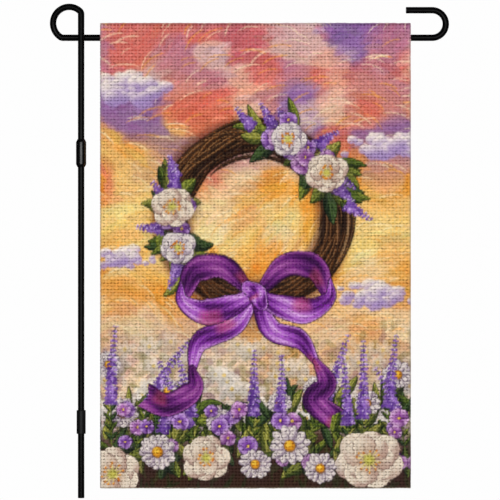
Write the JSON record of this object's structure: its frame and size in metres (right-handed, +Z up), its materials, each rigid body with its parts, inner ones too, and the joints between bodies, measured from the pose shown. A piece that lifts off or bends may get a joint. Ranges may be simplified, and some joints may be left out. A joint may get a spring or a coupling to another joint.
{
  "type": "burlap garden flag on a metal flag stand",
  "caption": "Upright burlap garden flag whose top pocket hangs on the level arm of a slim bent-rod stand, with a round loop at the pole's head and a U hook at the arm's end.",
  "frame": {"origin": "centre of the flat lower end of the pole", "axes": "+X along the arm from the pole to the hook, +Z up the pole, +Y from the printed face to the back"},
  "size_m": [0.3925, 0.0163, 0.485],
  "materials": {
    "burlap": "printed plain-weave burlap",
    "rod_paint": "gloss black",
    "sleeve_plastic": "semi-gloss black",
    "sleeve_rubber": "matte dark grey"
  },
  "bodies": {
    "root": {"flag_cloth": "burlap", "hanger_rod": "rod_paint", "middle_rod": "rod_paint", "lower_rod": "rod_paint", "upper_sleeve": "sleeve_plastic", "lower_sleeve": "sleeve_rubber"}
  },
  "joints": []
}
